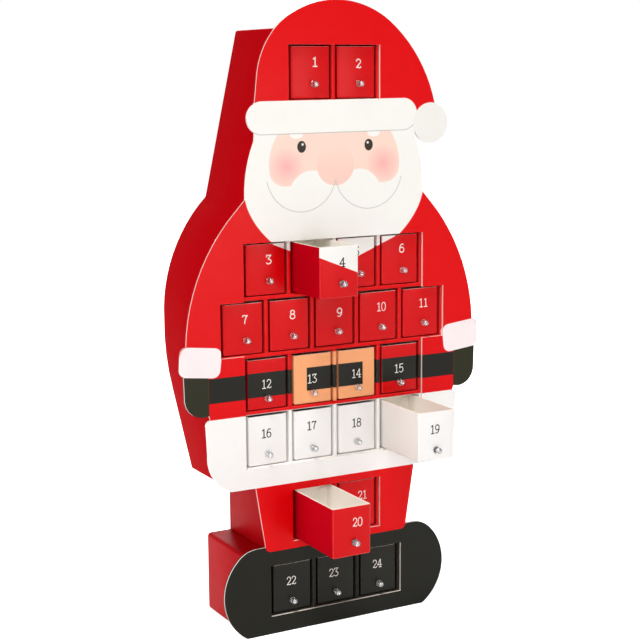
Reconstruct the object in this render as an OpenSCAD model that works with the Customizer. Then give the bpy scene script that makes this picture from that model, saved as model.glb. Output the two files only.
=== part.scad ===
// Free-standing card advent calendar in the shape of Father Christmas.
// A die-cut front board carries a shallow card box with 24 small drawers,
// each pulled by a clear bead knob. Millimetres, +Z up, front face towards -Y.
// The origin lies on the floor, in the middle of the width and of the depth.

/* [Box] */
// Depth of the box, from the front board's face to the back
cabinet_d = 88; // [84:1:110]
// Thickness of the front board
front_t = 2.5; // [1:0.1:2.9]
// Thickness of the back board
back_t = 2; // [1:0.1:4]
// Thickness of the folded side walls
wall_t = 2; // [1:0.1:4]
// Thickness of the shelves and dividers
board_t = 3.4; // [2:0.1:7]

/* [Drawers] */
// Width of a drawer
drawer_w = 38.2; // [30:0.1:50]
// Height of a drawer
drawer_h = 45; // [35:0.5:60]
// Length of a drawer, front to back
drawer_d = 78; // [60:0.5:80]
// Thickness of the drawer card
card_t = 1.2; // [0.6:0.1:2]
// Outer radius of the folded upright edges
fold_r = 1.2; // [0.4:0.1:3]
// Width of the glue flaps inside the corners
flap_w = 9; // [4:0.5:15]
// Thickness of the glue flaps
flap_t = 0.6; // [0.3:0.1:1]
// How far the flaps stop below the rim
flap_drop = 2; // [1:0.5:6]
// How far a closed drawer's front lies behind the board's face
front_recess = 3; // [3:0.1:6]
// Clearance at each side of a drawer
side_gap = 2.2; // [0.5:0.1:3]
// Clearance under a drawer
floor_gap = 0.8; // [0.2:0.1:1]
// Clearance above a drawer
head_gap = 2; // [0.5:0.1:4]
// How far drawer 4 stands open
open_04 = 49.5; // [0:0.5:60]
// How far drawer 19 stands open
open_19 = 63; // [0:0.5:68]
// How far drawer 20 stands open
open_20 = 70; // [0:0.5:72]

/* [Knobs] */
// Radius of the round foot of a knob
knob_foot_r = 3.1; // [2:0.1:5]
// Thickness of the foot
knob_foot_t = 0.9; // [0.5:0.1:2]
// Radius of the bead
bead_r = 2.7; // [2:0.1:4]
// How deep the neck sinks into the bead
bead_sink = 0.4; // [0.1:0.1:0.8]
// Radius of the stem through the card
stem_r = 0.9; // [0.5:0.1:1.4]
// Radial clearance of the stem in its hole
stem_gap = 0.05; // [0.02:0.01:0.2]
// Radius of the rivet head inside the drawer
rivet_r = 1.8; // [1.5:0.1:3]
// Thickness of the rivet head
rivet_t = 0.5; // [0.3:0.1:1]
// Length of the neck between the foot and the bead
neck_len = 1.2; // [0.5:0.1:3]
// Radius of the neck
neck_r = 1.1; // [0.8:0.1:2]
// Height of the knob above the drawer's underside, in the hat, chest and trouser rows
knob_z_high = 12.4; // [8:0.1:30]
// Height of the knob above the drawer's underside, in the belt, hem and boot rows
knob_z_low = 9.6; // [8:0.1:30]
// How far the high knobs sit to the right of the drawer's middle
knob_side = 2.8; // [-6:0.1:6]

/* [Windows in the front board] */
// How far a window reaches past its drawers at each side
window_side = 3.9; // [1.5:0.1:5]
// How far a window reaches past its drawers above and below
window_rise = 1.5; // [0.8:0.1:3]

/* [Heights] */
// Underside of the boot drawers above the floor
boot_z = 18; // [14:0.5:30]
// Gap from the boot drawers up to the trouser drawers
boot_to_leg = 23; // [22:0.5:40]
// Gap from the trouser drawers up to the coat drawers
leg_to_coat = 28; // [26:0.5:45]
// Height of the face between the coat drawers and the hat drawers
face_h = 124.9; // [110:0.1:150]

/* [Outline of the figure] */
// How far the boots reach past their drawers' cells
boots_side = 46.7; // [40:0.1:60]
// Rise of the boots above their drawers
boots_rise = 19.8; // [15:0.1:22]
// How far the trousers reach past their cells at the boots
cuff_side = 28; // [24:0.1:34]
// How far the trousers reach past their cells at the coat
waist_side = 37; // [30:0.1:50]
// How far the coat hem reaches past the four-drawer cells
hem_side = 38; // [30:0.1:45]
// Fall of the hem below the lowest coat drawers
hem_fall = 19.5; // [12:0.1:22]
// Rise of the hem above the lowest coat drawers
hem_rise = 2.6; // [1:0.1:6]
// How far the arms reach past the five-drawer cells
arm_side = 32.5; // [25:0.1:40]
// How far the sleeve cuffs stand out past the arms
cuff_out = 6.5; // [3:0.1:10]
// Height of the sleeve cuffs' middle above the belt drawers' underside
cuff_rise = 50; // [44:0.5:56]
// How far the beard reaches past the hat drawers' cells
beard_side = 44.7; // [43:0.1:55]
// How far the beard leans to the right
beard_lean = 1.5; // [0:0.1:2]
// Depth of the fur trim under the hat
trim_h = 27.6; // [20:0.1:34]
// How far the fur trim reaches past the hat drawers' cells
trim_side = 42.5; // [38:0.1:46]
// How much shorter the trim's left end is
trim_short = 1.8; // [0:0.1:3]
// How far the trim's left end hangs below its right end
trim_fall = 1; // [0:0.1:2]
// Rise of the hat's crown above the hat drawers
crown_rise = 40.1; // [34:0.1:55]
// Radius of the pompom
pompom_r = 18; // [15:0.5:21]
// How far the pompom's middle lies past the hat drawers' cells
pompom_side = 53.6; // [50:0.1:58]
// How far the pompom's middle lies below the middle of the trim
pompom_drop = 8.4; // [4:0.1:10]
// Unit that the small steps of the outlines are counted in
outline_step = 1; // [0.8:0.05:1.2]

/* [Outline of the box behind] */
// How far the boot box reaches past its cells
boot_box_side = 22.8; // [10:0.1:30]
// Rise of the boot box above its drawers
boot_box_rise = 12.4; // [10:0.1:16]
// How far the leg box reaches past its cells
leg_box_side = 22.2; // [10:0.1:26]
// How far the body box reaches past the five-drawer cells
body_box_side = 16; // [10:0.1:20]
// How far the body box reaches past the four-drawer cells at the hem
hem_box_side = 14.4; // [8:0.1:15.5]
// How far the body box reaches past the hat drawers' cells at the neck
neck_box_side = 41.2; // [30:0.1:42]
// How far the body box reaches past the hat drawers' cells at the top
crown_box_side = 8; // [5:0.1:9]
// Rise of the box's top above the hat drawers
crown_box_rise = 15.5; // [10:0.1:20]

/* [Hidden] */
$fn = 40;
facet_angle = 4;
facet_len = 1.2;

// Cells: columns and rows on one pitch
col_pitch = drawer_w + 2 * side_gap + board_t;
row_pitch = drawer_h + floor_gap + head_gap + board_t;
half_2 = col_pitch;
half_3 = 1.5 * col_pitch;
half_4 = 2 * col_pitch;
half_5 = 2.5 * col_pitch;

// Undersides of the drawers in each row
leg_z = boot_z + drawer_h + boot_to_leg;
coat_z = leg_z + drawer_h + leg_to_coat;
coat_rows_z = [for (i = [0:3]) coat_z + i * row_pitch];
belt_z = coat_rows_z[1];
wide_z = coat_rows_z[2];
coat_top = coat_rows_z[3] + drawer_h;
hat_z = coat_top + face_h;

// Planes from front to back
face_y = -cabinet_d / 2;
inner_y = face_y + front_t;
drawer_y = face_y + front_recess;
back_y = cabinet_d / 2 - back_t;

// Where the knobs sit on their drawers' fronts
KNOB_HIGH = [knob_side, knob_z_high];
KNOB_LOW = [0, knob_z_low];

// Rows from the hat down: drawers in the row, underside of the drawers, place of their knobs
ROWS = [
    [2, hat_z, KNOB_HIGH],
    [4, coat_rows_z[3], KNOB_HIGH],
    [5, coat_rows_z[2], KNOB_HIGH],
    [4, coat_rows_z[1], KNOB_LOW],
    [4, coat_rows_z[0], KNOB_LOW],
    [2, leg_z, KNOB_HIGH],
    [3, boot_z, KNOB_LOW],
];

// Column, row and knob place of every drawer, numbered from the hat's left
PLACES = [for (row = ROWS) for (i = [0:row[0] - 1]) [(i - (row[0] - 1) / 2) * col_pitch, row[1], row[2]]];
function open_of(n) = n == 4 ? open_04 : n == 19 ? open_19 : n == 20 ? open_20 : 0;
function two_digits(n) = str(n < 10 ? "0" : "", n);

// Card colours of the drawers
RED = [0.9, 0.13, 0.14];
WHITE = [0.98, 0.97, 0.95];
BLACK = [0.18, 0.18, 0.16];
AMBER = [0.98, 0.67, 0.43];
function card_colour(n) =
    n >= 22 ? BLACK : n >= 16 && n <= 19 ? WHITE : n == 13 || n == 14 ? AMBER : RED;

// Points on a circle, without the last one, in steps no finer than the facets
function arc(centre, r, start, end) =
    let (turn = abs(end - start))
    let (steps = max(3, ceil(min(turn / facet_angle, turn * r * PI / 180 / facet_len))))
    [for (i = [0:steps - 1])
        let (a = start + (end - start) * i / steps) centre + r * [cos(a), sin(a)]];

// Points on the circle through a, b and c, from a up to but without c
function bow(a, b, c) =
    let (turn = 2 * (a.x * (b.y - c.y) + b.x * (c.y - a.y) + c.x * (a.y - b.y)))
    let (mx = (a * a * (b.y - c.y) + b * b * (c.y - a.y) + c * c * (a.y - b.y)) / turn)
    let (my = (a * a * (c.x - b.x) + b * b * (a.x - c.x) + c * c * (b.x - a.x)) / turn)
    let (start = atan2(a.y - my, a.x - mx))
    let (span = atan2(c.y - my, c.x - mx) - start)
    let (sweep = turn > 0 ? (span < 0 ? span + 360 : span) : (span > 0 ? span - 360 : span))
    arc([mx, my], norm(a - [mx, my]), start, start + sweep);

// The same points mirrored to the left, in reverse order
function mirrored(points) =
    [for (i = [len(points) - 1:-1:0]) [-points[i].x, points[i].y]];

// A closed counter-clockwise outline moved inwards by a wall's thickness
function unit(v) = v / norm(v);
function inset(points, wall) =
    let (count = len(points))
    [for (i = [0:count - 1])
        let (before = unit(points[i] - points[(i + count - 1) % count]))
        let (after = unit(points[(i + 1) % count] - points[i]))
        let (n0 = [-before.y, before.x])
        let (n1 = [-after.y, after.x])
        points[i] + wall * (n0 + n1) / (1 + n0 * n1)];

// Outline of the front board, one half from the floor to the beard's top, in small steps of s
s = outline_step;
boots_x = half_3 + boots_side;
boots_top = boot_z + drawer_h + boots_rise;
trouser_x = half_2 + cuff_side;
waist_x = half_2 + waist_side;
hem_z = coat_z - hem_fall;
hem_x = half_4 + hem_side;
hem_top = coat_z + drawer_h + hem_rise;
arm_x = half_5 + arm_side;
cuff_x = arm_x + cuff_out;
cuff_z = belt_z + cuff_rise;
beard_x = half_2 + beard_side;
trim_top = hat_z - window_rise;
trim_z = trim_top - trim_h;
trim_r = trim_h / 2;
trim_end = half_2 + trim_side - trim_r;
pompom = [half_2 + pompom_side, trim_z + trim_r - pompom_drop];

toe = [boots_x - 14.5 * s, boots_top * 0.905];
boot_edge = concat(
    bow([boots_x - 22.3 * s, 0], [boots_x, boots_top / 2], toe),
    bow(toe, [boots_x - 22.5 * s, boots_top * 0.972], [boots_x - 33 * s, boots_top]),
    [[boots_x - 33 * s, boots_top], [trouser_x, boots_top], [waist_x, hem_z]]
);
hem_edge = concat(
    bow([hem_x - 23 * s, hem_z], [hem_x - 8 * s, hem_z + 11.5 * s], [hem_x - 1.5 * s, hem_z + 38 * s]),
    bow([hem_x, hem_top - 6.6 * s], [hem_x - s, hem_top - 1.6 * s], [hem_x - 4 * s, hem_top])
);
wrist = [arm_x + 2.5 * s, belt_z + 18 * s];
mitten_edge = concat(
    [[hem_x - 4 * s, hem_top]],
    bow([hem_x - 2.5 * s, belt_z + 0.6 * s], [arm_x - 4.5 * s, belt_z + 3.3 * s], wrist)
);
cuff_low = [cuff_x, cuff_z - 6.5 * s];
cuff_high = [cuff_x - 6.5 * s, cuff_z + 13 * s];
cuff_edge = concat(
    [[arm_x + 3 * s, cuff_z - 12.6 * s]],
    bow([arm_x + 3.4 * s, cuff_z - 12.5 * s], [cuff_x - 1.1 * s, cuff_z - 10.5 * s], cuff_low),
    bow([cuff_x - 0.8 * s, cuff_z + 6.3 * s], [cuff_x - 2.2 * s, cuff_z + 11.2 * s], cuff_high)
);
function head_edge(lean) =
    let (collar = [beard_x - lean + 1.5 * s, coat_top + 37.5 * s])
    let (jaw = [beard_x - 1.4 * lean - s, coat_top + 62 * s])
    let (beard_top = [trim_end - 2.5 * lean + 5.3 * s, trim_z + s])
    concat(
        bow([arm_x + 0.2 * s, cuff_z + 13 * s], [arm_x - 11.2 * s, coat_top - 28.6 * s], collar),
        bow([beard_x - lean, coat_top + 40 * s], jaw, beard_top)
    );
body_side = concat(boot_edge, hem_edge, mitten_edge, cuff_edge);
right_edge = concat(body_side, head_edge(0));
left_edge = mirrored(concat(body_side, head_edge(beard_lean)));

// Pompom, hat and the left end of the trim
crown = hat_z + drawer_h + crown_rise;
pompom_start = 188;
pompom_end = 435;
trim_start = 118;
trim_stop = 247;
hat_tip = pompom + pompom_r * [cos(pompom_end), sin(pompom_end)];
right_brim = [half_2 + 10.2 * s, crown - 17.6 * s];
left_brim = [-half_2 - 4.9 * s, crown - 17.6 * s];
left_fur = [-half_2 - 30.4 * s, crown - 62.6 * s];
hat_edge = concat(
    arc(pompom, pompom_r, pompom_start, pompom_end),
    bow(hat_tip, [half_2 + 42.6 * s, crown - 53.6 * s], right_brim),
    bow(right_brim, [1.5 * s, crown], left_brim),
    bow(left_brim, [-half_2 - 20.7 * s, crown - 35.6 * s], left_fur),
    [left_fur],
    arc([trim_short - trim_end, trim_z + trim_r - trim_fall], trim_r, trim_start, trim_stop)
);
front_outline = concat(right_edge, hat_edge, left_edge);

// Outline of the body box, right half from the hem to the top
body_box_x = half_5 + body_box_side;
box_hem_z = hem_z + 0.5 * s;
neck = [half_2 + neck_box_side, coat_top + 36.4 * s];
shoulder = [body_box_x, wide_z + 23.6 * s];
hip = [body_box_x - 6.6 * s, belt_z + 9.8 * s];
box_top = hat_z + drawer_h + crown_box_rise;
body_edge = concat(
    [[half_4 + hem_box_side, box_hem_z]],
    bow(hip, [body_box_x - 1.3 * s, belt_z + 40.8 * s], shoulder),
    bow(shoulder, [body_box_x - 12.4 * s, coat_top - 8.6 * s], neck),
    [neck, [half_2 + crown_box_side, box_top]]
);
body_outline = concat(body_edge, mirrored(body_edge));
boot_box_x = half_3 + boot_box_side;
boot_box_top = boot_z + drawer_h + boot_box_rise;
leg_box_x = half_2 + leg_box_side;
boot_outline = [[-boot_box_x, 0], [boot_box_x, 0], [boot_box_x, boot_box_top], [-boot_box_x, boot_box_top]];
back_edge = concat(
    [[boot_box_x, 0], [boot_box_x, boot_box_top], [leg_box_x, boot_box_top], [leg_box_x, box_hem_z]],
    body_edge
);
back_outline = concat(back_edge, mirrored(back_edge));

// A flat shape in X and Z, given depth between two planes
module upright(from_y, to_y) {
    translate([0, to_y, 0]) rotate([90, 0, 0]) linear_extrude(to_y - from_y) children();
}

// A square window around a row of drawers
module row_window(half, z) {
    translate([-half - window_side + (col_pitch - drawer_w) / 2, z - window_rise])
        square([2 * (half + window_side) - (col_pitch - drawer_w), drawer_h + 2 * window_rise]);
}

// The stepped window around the four coat rows
module coat_window() {
    past = window_side - (col_pitch - drawer_w) / 2;
    low = wide_z - window_rise;
    high = wide_z + drawer_h + window_rise;
    edge = [
        [half_4 + past, coat_z - window_rise], [half_4 + past, low],
        [half_5 + past, low], [half_5 + past, high],
        [half_4 + past, high], [half_4 + past, coat_top + window_rise],
    ];
    polygon(concat(edge, mirrored(edge)));
}

// A shelf, from the front board to the back board, under the drawers at z
module shelf(half, z) {
    reach = half + board_t / 2;
    translate([-reach, inner_y, z - floor_gap - board_t])
        cube([2 * reach, back_y - inner_y, board_t]);
}

// The dividers of one row, standing between its two shelves
module row_dividers(count, z) {
    for (i = [0:count])
        translate([(i - count / 2) * col_pitch - board_t / 2, inner_y, z - floor_gap])
            cube([board_t, back_y - inner_y, row_pitch - board_t]);
}

// An outline of a card sleeve with rounded folds
module folded_outline() {
    x = drawer_w / 2 - fold_r;
    y = drawer_d - fold_r;
    polygon(concat(
        arc([-x, fold_r], fold_r, 180, 270), [[-x, 0]], arc([x, fold_r], fold_r, 270, 360),
        [[x + fold_r, fold_r]], arc([x, y], fold_r, 0, 90), [[x, drawer_d]],
        arc([-x, y], fold_r, 90, 180), [[-x - fold_r, y]]
    ));
}

// One folded card tray, its front face at y = 0 and its underside at z = 0, pierced for its knob
module tray(hole) {
    inside_w = drawer_w - 2 * card_t;
    inside_d = drawer_d - 2 * card_t;
    flap_x = (inside_w - flap_w) / 2;
    difference() {
        linear_extrude(drawer_h) folded_outline();
        difference() {
            translate([-inside_w / 2, card_t, card_t]) cube([inside_w, inside_d, drawer_h]);
            for (side = [-1, 1], end = [0, 1])
                translate([side * flap_x - flap_w / 2, card_t + end * (inside_d - flap_t), 0])
                    cube([flap_w, flap_t, drawer_h - flap_drop]);
        }
        translate([hole.x, card_t / 2, hole.y]) rotate([90, 0, 0])
            cylinder(r = stem_r + stem_gap, h = 2 * card_t, center = true);
    }
}

// One clear bead knob, its foot on y = 0 and its stem along +Y
module bead_knob() {
    rotate([90, 0, 0]) {
        cylinder(r = knob_foot_r, h = knob_foot_t);
        cylinder(r = neck_r, h = knob_foot_t + neck_len);
        translate([0, 0, knob_foot_t + neck_len + bead_r - bead_sink]) sphere(r = bead_r);
        translate([0, 0, -card_t - rivet_t]) cylinder(r = stem_r, h = card_t + rivet_t + knob_foot_t);
        translate([0, 0, -card_t - rivet_t]) cylinder(r = rivet_r, h = rivet_t);
    }
}

// Puts a piece of drawer n where the drawer stands at rest
module at_drawer(n) {
    place = PLACES[n - 1];
    translate([place.x, drawer_y - open_of(n), place.y]) children();
}

module front_panel() {
    color(RED) upright(face_y, inner_y) difference() {
        polygon(front_outline);
        row_window(half_2, hat_z);
        coat_window();
        row_window(half_2, leg_z);
        row_window(half_3, boot_z);
    }
}

module back_panel() {
    color(RED) upright(back_y, cabinet_d / 2) polygon(back_outline);
}

module body_wall() {
    color(RED) upright(inner_y, back_y) difference() {
        polygon(body_outline);
        polygon(inset(body_outline, wall_t));
    }
}

module leg_walls() {
    color(RED) for (side = [-1, 1])
        translate([side * (leg_box_x - wall_t / 2) - wall_t / 2, inner_y, boot_box_top])
            cube([wall_t, back_y - inner_y, box_hem_z - boot_box_top]);
}

module boot_wall() {
    color(RED) upright(inner_y, back_y) difference() {
        polygon(boot_outline);
        polygon(inset(boot_outline, wall_t));
    }
}

module hat_shelves() {
    color(RED) for (step = [0, 1]) shelf(half_2, hat_z + step * row_pitch);
}

module coat_shelves() {
    halves = [half_4, half_4, half_5, half_5, half_4];
    color(RED) for (i = [0:4]) shelf(halves[i], coat_z + i * row_pitch);
}

module lower_shelves() {
    for (step = [0, 1]) {
        color(RED) shelf(half_2, leg_z + step * row_pitch);
        color(BLACK) shelf(half_3, boot_z + step * row_pitch);
    }
}

module hat_dividers() {
    color(RED) row_dividers(2, hat_z);
}

module coat_dividers() {
    for (row = [0:3]) color(row == 0 ? WHITE : RED) row_dividers(row == 2 ? 5 : 4, coat_rows_z[row]);
}

module lower_dividers() {
    color(RED) row_dividers(2, leg_z);
    color(BLACK) row_dividers(3, boot_z);
}

module drawer(n) {
    color(card_colour(n)) at_drawer(n) tray(PLACES[n - 1][2]);
}

module knob(n) {
    place = PLACES[n - 1][2];
    color([0.9, 0.95, 1, 0.5]) at_drawer(n) translate([place.x, 0, place.y]) bead_knob();
}

front_panel();
back_panel();
body_wall();
leg_walls();
boot_wall();
hat_shelves();
coat_shelves();
lower_shelves();
hat_dividers();
coat_dividers();
lower_dividers();
for (n = [1:24]) {
    drawer(n);
    knob(n);
}
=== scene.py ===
"""Printed card, folded trays and clear beads for a card advent calendar with 24 drawers.

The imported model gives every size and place. The front of the calendar is printed as a traditional
Father Christmas, in plain shapes, and the print runs over the front board, the partitions between
the drawers and the drawer fronts. Lengths on the print are in millimetres, meshes are in metres.
"""

from __future__ import annotations

import logging
import math
from collections.abc import Callable, Mapping, Sequence
from dataclasses import dataclass, field
from enum import Enum, IntEnum
from typing import Any, Union

import bpy
from mathutils import Euler, Matrix, Vector

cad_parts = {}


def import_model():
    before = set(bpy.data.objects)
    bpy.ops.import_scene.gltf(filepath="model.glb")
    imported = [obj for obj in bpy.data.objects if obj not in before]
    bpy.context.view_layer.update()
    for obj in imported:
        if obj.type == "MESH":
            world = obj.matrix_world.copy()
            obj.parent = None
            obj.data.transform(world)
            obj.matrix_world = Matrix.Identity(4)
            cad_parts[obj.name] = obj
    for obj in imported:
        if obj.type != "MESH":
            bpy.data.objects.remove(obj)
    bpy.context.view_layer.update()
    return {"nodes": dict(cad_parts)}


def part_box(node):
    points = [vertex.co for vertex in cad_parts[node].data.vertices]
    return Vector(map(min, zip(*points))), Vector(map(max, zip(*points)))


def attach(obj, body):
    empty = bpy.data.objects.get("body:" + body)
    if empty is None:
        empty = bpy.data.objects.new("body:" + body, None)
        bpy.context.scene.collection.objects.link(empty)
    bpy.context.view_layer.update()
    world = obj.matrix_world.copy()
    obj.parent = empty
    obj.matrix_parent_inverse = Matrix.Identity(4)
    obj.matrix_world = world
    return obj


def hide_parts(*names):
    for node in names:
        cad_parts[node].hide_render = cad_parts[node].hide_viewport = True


LOG = logging.getLogger("calendar")
MM = 0.001
MERGE = 0.01 * MM
DRAWERS = range(1, 25)
WHITE_LIGHT = (1.0, 1.0, 1.0, 1.0)


class Ink(Enum):
    """Colours of the card and the print, as 8-bit sRGB."""

    RED = (225, 3, 9)
    # darker than RED: partly a deeper print tone, partly painted shade of the drawers' recess
    DRAWER_RED = (216, 3, 10)
    # darker than the front's red: painted shade of the drawers' sides, which turn away from the light
    TRAY_RED = (186, 2, 22)
    # darker than the front's red: painted shade of the walls that turn away from the light
    WALL_RED = (174, 3, 12)
    WHITE = (249, 246, 240)
    FUR = (244, 241, 235)
    HEM = (251, 248, 245)
    CUFF = (254, 240, 240)
    BELT = (30, 29, 23)
    MITTEN = (43, 42, 27)
    BOOT = (28, 28, 21)
    AMBER = (254, 174, 120)
    SKIN = (253, 220, 204)
    NOSE = (251, 210, 196)
    BLUSH = (252, 172, 172)
    EYE = (58, 48, 40)
    LINE = (186, 186, 182)
    CREAM = (255, 250, 240)
    RAW = (255, 243, 232)
    NUMERAL_PALE = (252, 246, 238)
    NUMERAL_DARK = (38, 37, 38)
    CLEAR = (250, 252, 255)
    # painted shade for the bead's rim, standing in for dark surroundings seen through it
    CLEAR_RIM = (30, 26, 24)
    STUDIO = (244, 244, 244)

    @property
    def linear(self) -> tuple[float, float, float, float]:
        """The colour in linear light with full alpha.

        Returns:
            Red, green, blue and alpha.
        """
        channels = [part / 255 for part in self.value]
        light = [c / 12.92 if c <= 0.04045 else ((c + 0.055) / 1.055) ** 2.4 for c in channels]
        return (light[0], light[1], light[2], 1.0)


class Stock(Enum):
    """Card that a drawer is folded from."""

    RED = Ink.TRAY_RED
    WHITE = Ink.WHITE
    BLACK = Ink.BOOT
    AMBER = Ink.AMBER

    @classmethod
    def of_drawer(cls, number: int) -> Stock:
        """The card of one drawer.

        Args:
            number: the drawer's number, from 1 to 24.

        Returns:
            The card stock.
        """
        if number >= 22:
            return cls.BLACK
        if 16 <= number <= 19:
            return cls.WHITE
        if number in (13, 14):
            return cls.AMBER
        return cls.RED

    @property
    def slot(self) -> str:
        """The record's material slot, which also names the material."""
        return f"{self.name.lower()}_card"


@dataclass(frozen=True)
class Signal:
    """A shader value on a desk, with Python's arithmetic on it."""

    desk: Desk
    socket: bpy.types.NodeSocket

    def __add__(self, other: Value) -> Signal:
        """Sum."""
        return self.desk.math("ADD", self, other)

    __radd__ = __add__

    def __sub__(self, other: Value) -> Signal:
        """Difference."""
        return self.desk.math("SUBTRACT", self, other)

    def __rsub__(self, other: Value) -> Signal:
        """Difference from a plain number."""
        return self.desk.math("SUBTRACT", other, self)

    def __mul__(self, other: Value) -> Signal:
        """Product."""
        return self.desk.math("MULTIPLY", self, other)

    __rmul__ = __mul__

    def __truediv__(self, other: Value) -> Signal:
        """Quotient."""
        return self.desk.math("DIVIDE", self, other)

    def __pow__(self, other: Value) -> Signal:
        """Power."""
        return self.desk.math("POWER", self, other)

    def __neg__(self) -> Signal:
        """The other sign."""
        return self.desk.math("MULTIPLY", self, -1.0)

    def __abs__(self) -> Signal:
        """Size without sign."""
        return self.desk.math("ABSOLUTE", self)

    def __and__(self, other: Value) -> Signal:
        """The lesser of the two, which is where two shapes overlap."""
        return self.desk.math("MINIMUM", self, other)

    def __or__(self, other: Value) -> Signal:
        """The greater of the two, which is where either shape lies."""
        return self.desk.math("MAXIMUM", self, other)

    def root(self) -> Signal:
        """Square root."""
        return self.desk.math("SQRT", self)

    def clamped(self) -> Signal:
        """The value kept from 0 to 1."""
        return self.desk.math("ADD", self, 0.0, clamp=True)


Value = Union[Signal, float]
Colour = Union[bpy.types.NodeSocket, Ink]


class Desk:
    """The node tree of one material or world, filled one step at a time."""

    def __init__(self, owner: Union[bpy.types.Material, bpy.types.World]) -> None:
        """Empties the owner's node tree.

        Args:
            owner: a new material or world.
        """
        self.owner = owner
        self.owner.use_nodes = True
        self.tree = self.owner.node_tree
        self.tree.nodes.clear()
        self._object: Union[bpy.types.NodeSocket, None] = None

    @classmethod
    def material(cls, name: str) -> Desk:
        """Starts a new material."""
        return cls(bpy.data.materials.new(name))

    def node(
        self,
        kind: str,
        settings: Mapping[str, Any],
        sockets: Mapping[Union[str, int], Any],
    ) -> bpy.types.Node:
        """Adds any node.

        Args:
            kind: the node's type.
            settings: its properties, which are set first.
            sockets: values or links of its inputs, by name or index.

        Returns:
            The node.
        """
        made = self.tree.nodes.new(kind)
        for key, value in settings.items():
            setattr(made, key, value)
        for key, value in sockets.items():
            self.feed(made.inputs[key], value)
        return made

    def feed(self, socket: bpy.types.NodeSocket, value: Any) -> None:
        """Links or sets one input.

        Args:
            socket: the input.
            value: a signal, a socket, an ink or a plain value.
        """
        if isinstance(value, Signal):
            self.tree.links.new(value.socket, socket)
        elif isinstance(value, bpy.types.NodeSocket):
            self.tree.links.new(value, socket)
        elif isinstance(value, Ink):
            socket.default_value = value.linear
        else:
            socket.default_value = value

    def math(self, operation: str, *values: Value, clamp: bool = False) -> Signal:
        """Adds a Math node.

        Args:
            operation: the Math node's operation.
            values: its inputs in order.
            clamp: whether the result is kept from 0 to 1.

        Returns:
            The result.
        """
        settings = {"operation": operation, "use_clamp": clamp}
        made = self.node("ShaderNodeMath", settings, dict(enumerate(values)))
        return Signal(self, made.outputs[0])

    def object_point(self) -> bpy.types.NodeSocket:
        """The point in the object's own frame, in metres.

        Returns:
            The vector.
        """
        if self._object is None:
            self._object = self.node("ShaderNodeTexCoord", {}, {}).outputs["Object"]
        return self._object

    def turned_away(self) -> Signal:
        """How far the surface turns away from the front.

        Returns:
            0 on the front and 1 on a side.
        """
        normal = self.node("ShaderNodeTexCoord", {}, {}).outputs["Normal"]
        split = self.node("ShaderNodeSeparateXYZ", {}, {0: normal})
        return 1.0 - abs(Signal(self, split.outputs[1]))

    def paleness(self, colour: Colour) -> Signal:
        """How pale a colour is, read from its green."""
        split = self.node("ShaderNodeSeparateColor", {}, {0: colour})
        return Signal(self, split.outputs[1])

    def millimetres(self) -> tuple[Signal, Signal, Signal]:
        """The point in the object's own frame, in millimetres.

        Returns:
            X, Y and Z.
        """
        scaled = self.node(
            "ShaderNodeVectorMath",
            {"operation": "SCALE"},
            {0: self.object_point(), "Scale": 1 / MM},
        )
        split = self.node("ShaderNodeSeparateXYZ", {}, {0: scaled.outputs[0]})
        return tuple(Signal(self, out) for out in split.outputs)

    def noise(self, grain: float, detail: float = 2.0, stretch: Sequence[float] = (1, 1, 1)) -> Signal:
        """Adds soft random mottling.

        Args:
            grain: size of a fleck in millimetres.
            detail: octaves of finer flecks.
            stretch: how much finer the flecks are along X, Y and Z.

        Returns:
            A value around 0.5.
        """
        scaled = self.node(
            "ShaderNodeVectorMath",
            {"operation": "MULTIPLY"},
            {0: self.object_point(), 1: tuple(part / (grain * MM) for part in stretch)},
        )
        made = self.node(
            "ShaderNodeTexNoise",
            {"noise_dimensions": "3D"},
            {"Vector": scaled.outputs[0], "Scale": 1.0, "Detail": detail},
        )
        return Signal(self, made.outputs[0])

    def over(self, under: Colour, mask: Signal, top: Colour) -> bpy.types.NodeSocket:
        """Lays one colour on another.

        Args:
            under: the colour below.
            mask: 1 where the top colour covers.
            top: the colour on top.

        Returns:
            The mixed colour.
        """
        made = self.node("ShaderNodeMix", {"data_type": "RGBA"}, {0: mask, 6: under, 7: top})
        return made.outputs[2]

    def shaded(self, colour: Colour, mask: Signal, strength: float) -> bpy.types.NodeSocket:
        """Darkens a colour by a mask.

        Args:
            colour: the colour.
            mask: 0 to 1.
            strength: how dark the mask's full value makes it.

        Returns:
            The darkened colour.
        """
        tone = (1.0 - mask * strength).clamped()
        grey = self.node("ShaderNodeCombineColor", {}, {0: tone, 1: tone, 2: tone})
        made = self.node(
            "ShaderNodeMix",
            {"data_type": "RGBA", "blend_type": "MULTIPLY"},
            {0: 1.0, 6: colour, 7: grey.outputs[0]},
        )
        return made.outputs[2]

    def bump(self, height: Signal, depth: float, strength: float) -> bpy.types.NodeSocket:
        """Turns a height into a surface normal.

        Args:
            height: 0 to 1.
            depth: relief in millimetres.
            strength: how much of it shows.

        Returns:
            The normal.
        """
        sockets = {"Height": height, "Distance": depth * MM, "Strength": strength}
        return self.node("ShaderNodeBump", {}, sockets).outputs["Normal"]

    def background_ray(self) -> Signal:
        """Tells the rays that see the surroundings: straight, mirrored or through clear pieces.

        Returns:
            1 for those rays and 0 for the rest.
        """
        path = self.node("ShaderNodeLightPath", {}, {})
        kinds = ("Is Camera Ray", "Is Glossy Ray", "Is Transmission Ray")
        straight, mirrored, through = (Signal(self, path.outputs[kind]) for kind in kinds)
        return straight | mirrored | through

    def surface(self, sockets: Mapping[str, Any]) -> bpy.types.Material:
        """Ends the tree in a Principled shader.

        Args:
            sockets: values or links of the shader's inputs.

        Returns:
            The finished material.
        """
        shader = self.node("ShaderNodeBsdfPrincipled", {}, sockets)
        self.node("ShaderNodeOutputMaterial", {}, {"Surface": shader.outputs[0]})
        return self.owner


@dataclass(frozen=True)
class Oval:
    """An upright oval on the print: its middle, its half width and half height."""

    centre: tuple[float, float]
    half: tuple[float, float]
    paired: bool = False


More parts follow.
